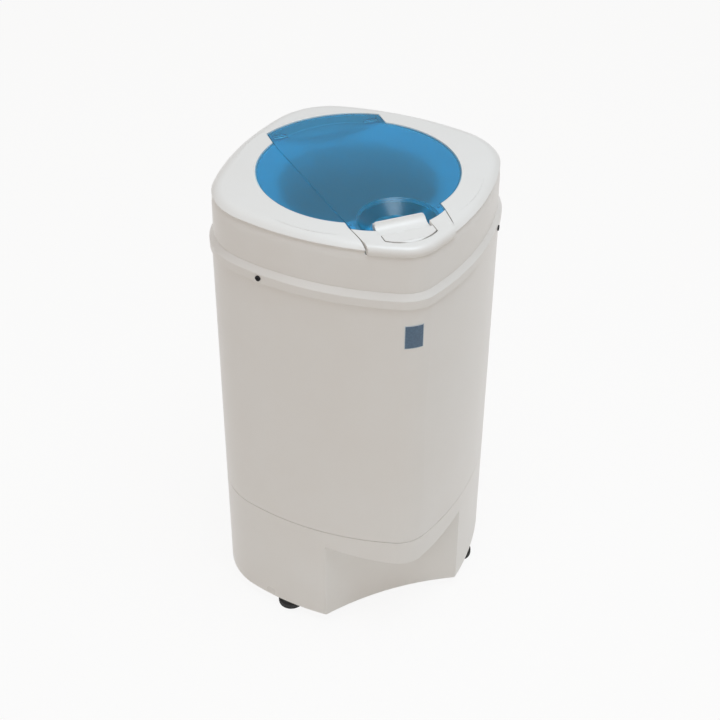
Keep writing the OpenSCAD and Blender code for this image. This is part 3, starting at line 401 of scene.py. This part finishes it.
shells = ["base_skirt", "cabinet", "collar", "top_plate", "lid_nose", "latch_lever",
          "drain_spout", "funnel", "lid_window", "basket", "tub", "tub_cover"]
skins = {name: skin(name) for name in shells}
print("skins:", {name: len(piece.data.vertices) for name, piece in skins.items()})

# %% [markdown]
# ## Two sides of the window
# The welded window gets the satin finish on every face that looks down, and keeps
# the polished one elsewhere. A face looks down when its normal dips by more than
# 0.3 of its length.

# %% Satin underside
downwards = -0.3
window = skins["lid_window"]
window.data.materials.append(window_under)
for face in window.data.polygons:
    face.material_index = 1 if face.normal.z < downwards else 0
satin_faces = sum(face.material_index for face in window.data.polygons)
print("satin faces:", satin_faces, "of", len(window.data.polygons))

# %% [markdown]
# ## The shape of the label
# A small blue film is stuck on the front corner. It is bent round the corner and
# follows the wall, which leans in by 2 mm over its height. So it is built as a
# grid: `u` runs across the film and `v` up it, and a function turns the two into
# a place. It is a thin closed solid with an outer face, an inner face and a rim,
# and its top edge is where the ready-made patch has it. Its own flat
# coordinates are stored with it for the finish.

# %% Label film
film_height = 0.0336
film_start, film_turn = math.radians(-110.1), math.radians(29)
film_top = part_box("label")[1].z
film_lifts = (0.00045, 0.00005)         # outer and inner face, out of the wall
corner_y, corner_radius = -0.148431, 0.05
wall_foot, wall_rise = 0.181, 0.393     # where the wall starts to lean, and over what height
foot_inset, wall_lean = 0.0008, 0.002
columns, rows = 24, 10


def on_corner(u, v, lift):
    """A place on the front corner, lift metres out of the wall."""
    z = film_top - film_height * (1 - v)
    radius = corner_radius - (foot_inset + wall_lean * (z - wall_foot) / wall_rise) + lift
    angle = film_start + film_turn * u
    return radius * math.cos(angle), corner_y + radius * math.sin(angle), z


corners, faces = [], []
for lift in film_lifts:
    corners += [on_corner(i / columns, j / rows, lift)
                for j in range(rows + 1) for i in range(columns + 1)]
line = columns + 1
layer = line * (rows + 1)
for j in range(rows):
    for i in range(columns):
        a, b = j * line + i, j * line + i + 1
        c, d = b + line, a + line
        faces += [(a, b, c, d), (layer + d, layer + c, layer + b, layer + a)]
rim = [i for i in range(columns)] + [j * line + columns for j in range(rows)]
rim += [rows * line + i for i in range(columns, 0, -1)] + [j * line for j in range(rows, 0, -1)]
for a, b in zip(rim, rim[1:] + rim[:1]):
    faces.append((b, a, layer + a, layer + b))
film_mesh = bpy.data.meshes.new("label_film")
film_mesh.from_pydata(corners, [], faces)
flat = film_mesh.uv_layers.new(name="flat")
for loop in film_mesh.loops:
    index = loop.vertex_index % layer
    flat.data[loop.index].uv = ((index % line) / columns, (index // line) / rows)
label_film = into_scene("label_film", film_mesh)
print("label", round(film_height * 1000, 1), "mm tall,", len(faces), "faces")

# %% [markdown]
# ## The finish of the label
# The label is coated vinyl film: an even blue with a soft gloss. A real one is
# die-cut from a roll, so it has a pale margin, here 0.8 mm wide. The margin
# follows the edges, so the finish reads the flat coordinates. It finds how far a
# point is from its nearest edge, and is blue only where that is more than the
# margin.

# %% Finish for the label
film_width = 0.0246                     # along the bend
margin = 0.0008
film, tree, surface, where = begin("coated_vinyl_film", "#45627A", 0.35,
                                   IOR=1.5, Coat_Weight=0.4)
drift(tree, surface, where, 0.0025, ("#3F5D78", "#4B6B86"), (0.3, 0.42))
blue = surface.inputs["Base Color"].links[0].from_socket
flat_place = add(tree, "ShaderNodeUVMap", uv_map="flat").outputs["UV"]
sides = add(tree, "ShaderNodeSeparateXYZ", {0: flat_place}).outputs
nearest = []
for axis, length in (("X", film_width), ("Y", film_height)):
    far = add(tree, "ShaderNodeMath", {0: 1.0, 1: sides[axis]}, operation="SUBTRACT")
    near = add(tree, "ShaderNodeMath", {0: sides[axis], 1: far.outputs[0]}, operation="MINIMUM")
    metres = add(tree, "ShaderNodeMath", {0: near.outputs[0], 1: length}, operation="MULTIPLY")
    nearest.append(metres.outputs[0])
distance = add(tree, "ShaderNodeMath", {0: nearest[0], 1: nearest[1]}, operation="MINIMUM")
inside = add(tree, "ShaderNodeMath", {0: distance.outputs[0], 1: margin}, operation="GREATER_THAN")
edged = add(tree, "ShaderNodeMix",
            {0: inside.outputs[0], 6: linear("#C9D6DE"), 7: blue}, data_type="RGBA")
tree.links.new(edged.outputs[2], surface.inputs["Base Color"])
film_mesh.materials.append(film)
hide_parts("label")
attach(label_film, "housing")
print("label finish:", film.name, "with a margin of", round(margin * 1000, 1), "mm")

# %% [markdown]
# ## Pieces that repeat
# The rims of the basket's holes and the ribs on the feet repeat by a rule, so each
# kind is one Geometry Nodes tree whose sizes are named inputs. `new_tree` opens a
# tree with its inputs, and `grown` runs it on an empty object, keeps the result as
# a plain mesh and throws the modifier away. Every tree ends by making its
# instances real and giving them their finish. Both kinds stand in rings, so
# `on_ring` finds a place from a radius, an angle and a height.

# %% Tools for the trees
def new_tree(name, inputs, finish):
    """A tree, its named sizes, and a function that ends it with a given geometry."""
    tree = bpy.data.node_groups.new(name, "GeometryNodeTree")
    tree.interface.new_socket("Geometry", in_out="OUTPUT", socket_type="NodeSocketGeometry")
    for label, value in inputs.items():
        kind = "NodeSocketInt" if isinstance(value, int) else "NodeSocketFloat"
        tree.interface.new_socket(label, in_out="INPUT", socket_type=kind)
    sizes = tree.nodes.new("NodeGroupInput").outputs

    def end_with(geometry):
        real = add(tree, "GeometryNodeRealizeInstances", {0: geometry})
        done = add(tree, "GeometryNodeSetMaterial", {0: real.outputs[0], "Material": finish})
        add(tree, "NodeGroupOutput", {0: done.outputs[0]})

    return tree, sizes, end_with


def grown(name, tree, inputs, finish):
    """The tree's result as a plain mesh, with its inputs set by their identifiers."""
    source = into_scene(name, bpy.data.meshes.new(name + "_start"))
    modifier = source.modifiers.new("grow", "NODES")
    modifier.node_group = tree
    identifier = {item.name: item.identifier
                  for item in tree.interface.items_tree if item.in_out == "INPUT"}
    for label, value in inputs.items():
        modifier[identifier[label]] = value
    source.update_tag()
    evaluated = source.evaluated_get(bpy.context.evaluated_depsgraph_get())
    mesh = bpy.data.meshes.new_from_object(evaluated)
    source.modifiers.remove(modifier)
    mesh.materials.clear()
    mesh.materials.append(finish)
    source.data = mesh
    print(name, len(mesh.polygons), "faces of", finish.name)
    return source


def on_ring(tree, radius, angle, height):
    """A vector at a radius, an angle and a height round the upright axis."""
    cosine = add(tree, "ShaderNodeMath", {0: angle}, operation="COSINE").outputs[0]
    sine = add(tree, "ShaderNodeMath", {0: angle}, operation="SINE").outputs[0]
    across = add(tree, "ShaderNodeMath", {0: cosine, 1: radius}, operation="MULTIPLY").outputs[0]
    along = add(tree, "ShaderNodeMath", {0: sine, 1: radius}, operation="MULTIPLY").outputs[0]
    return add(tree, "ShaderNodeCombineXYZ", {0: across, 1: along, 2: height}).outputs[0]


print("tools ready")

# %% [markdown]
# ## Where the basket's rims stand
# The washing must meet a rounded lip at each hole of a spin basket and not a burr.
# There are 128 holes, so 128 lips. The tree numbers its points from 0, and a
# point's row and its place in the row follow from its number. Every other row is
# turned by half a step.

# %% Places of the rims
rim_sizes = {"Rows": 8, "Holes in a row": 16, "Lowest row": 0.2835, "Row spacing": 0.03607,
             "Sheet radius": 0.1265, "Hole radius": 0.0026, "Lip radius": 0.00045}
tree, size, end_with = new_tree("pierced_rims", rim_sizes, stainless)
in_a_row = size["Holes in a row"]
number = add(tree, "GeometryNodeInputIndex").outputs[0]
count = add(tree, "ShaderNodeMath", {0: size["Rows"], 1: in_a_row}, operation="MULTIPLY")
share = add(tree, "ShaderNodeMath", {0: number, 1: in_a_row}, operation="DIVIDE")
row = add(tree, "ShaderNodeMath", {0: share.outputs[0]}, operation="FLOOR").outputs[0]
odd = add(tree, "ShaderNodeMath", {0: row, 1: 2.0}, operation="MODULO")
half_step = add(tree, "ShaderNodeMath", {0: odd.outputs[0], 1: 0.5}, operation="MULTIPLY")
column = add(tree, "ShaderNodeMath", {0: number, 1: in_a_row}, operation="MODULO")
step = add(tree, "ShaderNodeMath", {0: column.outputs[0], 1: half_step.outputs[0]}, operation="ADD")
sweep = add(tree, "ShaderNodeMath", {0: step.outputs[0], 1: math.tau}, operation="MULTIPLY")
angle = add(tree, "ShaderNodeMath", {0: sweep.outputs[0], 1: in_a_row}, operation="DIVIDE").outputs[0]
climb = add(tree, "ShaderNodeMath", {0: row, 1: size["Row spacing"]}, operation="MULTIPLY")
height = add(tree, "ShaderNodeMath", {0: climb.outputs[0], 1: size["Lowest row"]}, operation="ADD")
ring_place = on_ring(tree, size["Sheet radius"], angle, height.outputs[0])
points = add(tree, "GeometryNodePoints", {"Count": count.outputs[0], "Position": ring_place})
outwards = add(tree, "FunctionNodeAlignRotationToVector",
               {"Vector": on_ring(tree, 1.0, angle, 0.0)}, axis="Z")
print("rims:", rim_sizes["Rows"] * rim_sizes["Holes in a row"], "places")

# %% [markdown]
# ## A lip for every hole
# A lip is a small ring: a round wire, swept along a circle that is a little wider
# than the hole. It stands on the inner face of the sheet, half sunk in it. The
# same lip is put at every place, turned to look outwards.

# %% Grow the rims
hoop_radius = add(tree, "ShaderNodeMath", {0: size["Hole radius"], 1: size["Lip radius"]},
                  operation="ADD")
hoop = add(tree, "GeometryNodeCurvePrimitiveCircle",
           {"Resolution": 18, "Radius": hoop_radius.outputs[0]})
bead = add(tree, "GeometryNodeCurvePrimitiveCircle",
           {"Resolution": 6, "Radius": size["Lip radius"]})
lip = add(tree, "GeometryNodeCurveToMesh", {"Curve": hoop.outputs[0], "Profile Curve": bead.outputs[0]})
smooth = add(tree, "GeometryNodeSetShadeSmooth", {0: lip.outputs[0]})
lips = add(tree, "GeometryNodeInstanceOnPoints",
           {"Points": points.outputs[0], "Instance": smooth.outputs[0],
            "Rotation": outwards.outputs[0]})
end_with(lips.outputs[0])
basket_rims = grown("basket_rims", tree, rim_sizes, stainless)
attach(basket_rims, body_of["basket"])

# %% [markdown]
# ## Ribs on the feet
# Rubber feet are moulded with fine upright ribs, so that fingers can turn them.
# The tree makes one ring of short rods and copies it to each of the four feet,
# whose middles are read from the ready-made pieces.

# %% Grow the ribs
rib_sizes = {"Ribs on a foot": 36, "Foot radius": 0.0178, "Rib radius": 0.0006,
             "Rib height": 0.0070, "Rib middle": 0.0062}
tree, size, end_with = new_tree("foot_ribs", rib_sizes, epdm)
foot_places = []
for node in ("foot_front_left", "foot_front_right", "foot_back_left", "foot_back_right"):
    low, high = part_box(node)
    foot_places.append(((low.x + high.x) / 2, (low.y + high.y) / 2, 0.0))
number = add(tree, "GeometryNodeInputIndex").outputs[0]
sweep = add(tree, "ShaderNodeMath", {0: number, 1: math.tau}, operation="MULTIPLY")
angle = add(tree, "ShaderNodeMath", {0: sweep.outputs[0], 1: size["Ribs on a foot"]},
            operation="DIVIDE").outputs[0]
ring_place = on_ring(tree, size["Foot radius"], angle, size["Rib middle"])
ring = add(tree, "GeometryNodePoints", {"Count": size["Ribs on a foot"], "Position": ring_place})
rod = add(tree, "GeometryNodeMeshCylinder",
          {"Vertices": 8, "Radius": size["Rib radius"], "Depth": size["Rib height"]},
          fill_type="NGON")
ribs = add(tree, "GeometryNodeInstanceOnPoints",
           {"Points": ring.outputs[0], "Instance": rod.outputs[0]})
joined = add(tree, "GeometryNodeJoinGeometry")
for foot_place in foot_places:
    moved = add(tree, "GeometryNodeTransform", {0: ribs.outputs[0], "Translation": foot_place})
    tree.links.new(moved.outputs[0], joined.inputs[0])
end_with(joined.outputs[0])
foot_ribs = grown("foot_ribs", tree, rib_sizes, epdm)
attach(foot_ribs, "housing")

# %% [markdown]
# ## The floor
# The dryer stands on one large pale sheet of paper. The picture's background is
# near white, but a brighter floor would throw more light on the dryer. So a plain
# white glow is mixed into what the camera sees of it, also by way of a
# reflection or through the blue lid. A tenth of the real surface stays in the
# mix, and it carries the dryer's soft shadow.

# %% Floor
glow_share = 0.9
reach = 30.0
floor_mesh = bpy.data.meshes.new("studio_floor")
floor_mesh.from_pydata([(-reach, -reach, 0), (reach, -reach, 0), (reach, reach, 0),
                        (-reach, reach, 0)], [], [(0, 1, 2, 3)])
floor = into_scene("studio_floor", floor_mesh)
paper, tree, surface, where = begin("studio_paper", "#EFEDE9", 0.9)
path = add(tree, "ShaderNodeLightPath").outputs
shown = add(tree, "ShaderNodeMath",
            {0: path["Is Camera Ray"], 1: path["Is Glossy Ray"]}, operation="MAXIMUM")
shown = add(tree, "ShaderNodeMath",
            {0: shown.outputs[0], 1: path["Is Transmission Ray"]}, operation="MAXIMUM")
share = add(tree, "ShaderNodeMath", {0: shown.outputs[0], 1: glow_share}, operation="MULTIPLY")
glow = add(tree, "ShaderNodeEmission", {"Color": linear("#FFFFFF"), "Strength": 1.0})
mixed = add(tree, "ShaderNodeMixShader",
            {0: share.outputs[0], 1: surface.outputs[0], 2: glow.outputs[0]})
tree.links.new(mixed.outputs[0], tree.nodes["Material Output"].inputs["Surface"])
floor_mesh.materials.append(paper)
print("floor of", paper.name, "with a glow of", glow_share)

# %% [markdown]
# ## The sky
# The sky fills the shadows with a weak and slightly warm light from all round. The
# camera sees it as white.

# %% Sky
sky_level = 0.465
world = bpy.data.worlds.new("studio_sky")
bpy.context.scene.world = world
world.use_nodes = True
tree = world.node_tree
backdrop = tree.nodes["Background"]
seen_direct = add(tree, "ShaderNodeLightPath").outputs["Is Camera Ray"]
tint = add(tree, "ShaderNodeMix",
           {0: seen_direct, 6: linear("#F8EEE6"), 7: linear("#FFFFFF")}, data_type="RGBA")
level = add(tree, "ShaderNodeMix", {0: seen_direct, 2: sky_level, 3: 1.0})
tree.links.new(tint.outputs[2], backdrop.inputs["Color"])
tree.links.new(level.outputs[0], backdrop.inputs["Strength"])
print("sky at", sky_level)

# %% [markdown]
# ## The lamps
# A large soft lamp overhead lights the top brightly and leaves the sides a shade
# darker, as in the picture. A weaker one at the left and a small one low in front
# lift the walls and the scooped corner. Each is a round softbox that is aimed at a
# place on the dryer.

# %% Lamps
def soft_lamp(name, place, towards, size, power, hex_colour):
    lamp = into_scene(name, bpy.data.lights.new(name, "AREA"))
    lamp.data.shape = "DISK"
    lamp.data.size = size
    lamp.data.energy = power
    lamp.data.color = linear(hex_colour)[:3]
    lamp.location = place
    lamp.rotation_euler = (Vector(towards) - Vector(place)).to_track_quat("-Z", "Y").to_euler()
    return lamp


lamps = [
    soft_lamp("overhead_softbox", (0.15, -0.5, 2.9), (0, 0, 0.5), 1.8, 36.5, "#E4F3FF"),
    soft_lamp("left_softbox", (-2.4, -1.2, 1.5), (0, 0, 0.4), 1.6, 5, "#FFF0E6"),
    soft_lamp("front_softbox", (0.6, -2.2, 0.2), (0, 0, 0.05), 0.8, 2, "#FFFAF4"),
]
bpy.context.scene.view_settings.view_transform = "Standard"
print("lamps:", {lamp.name: lamp.data.energy for lamp in lamps}, "W")
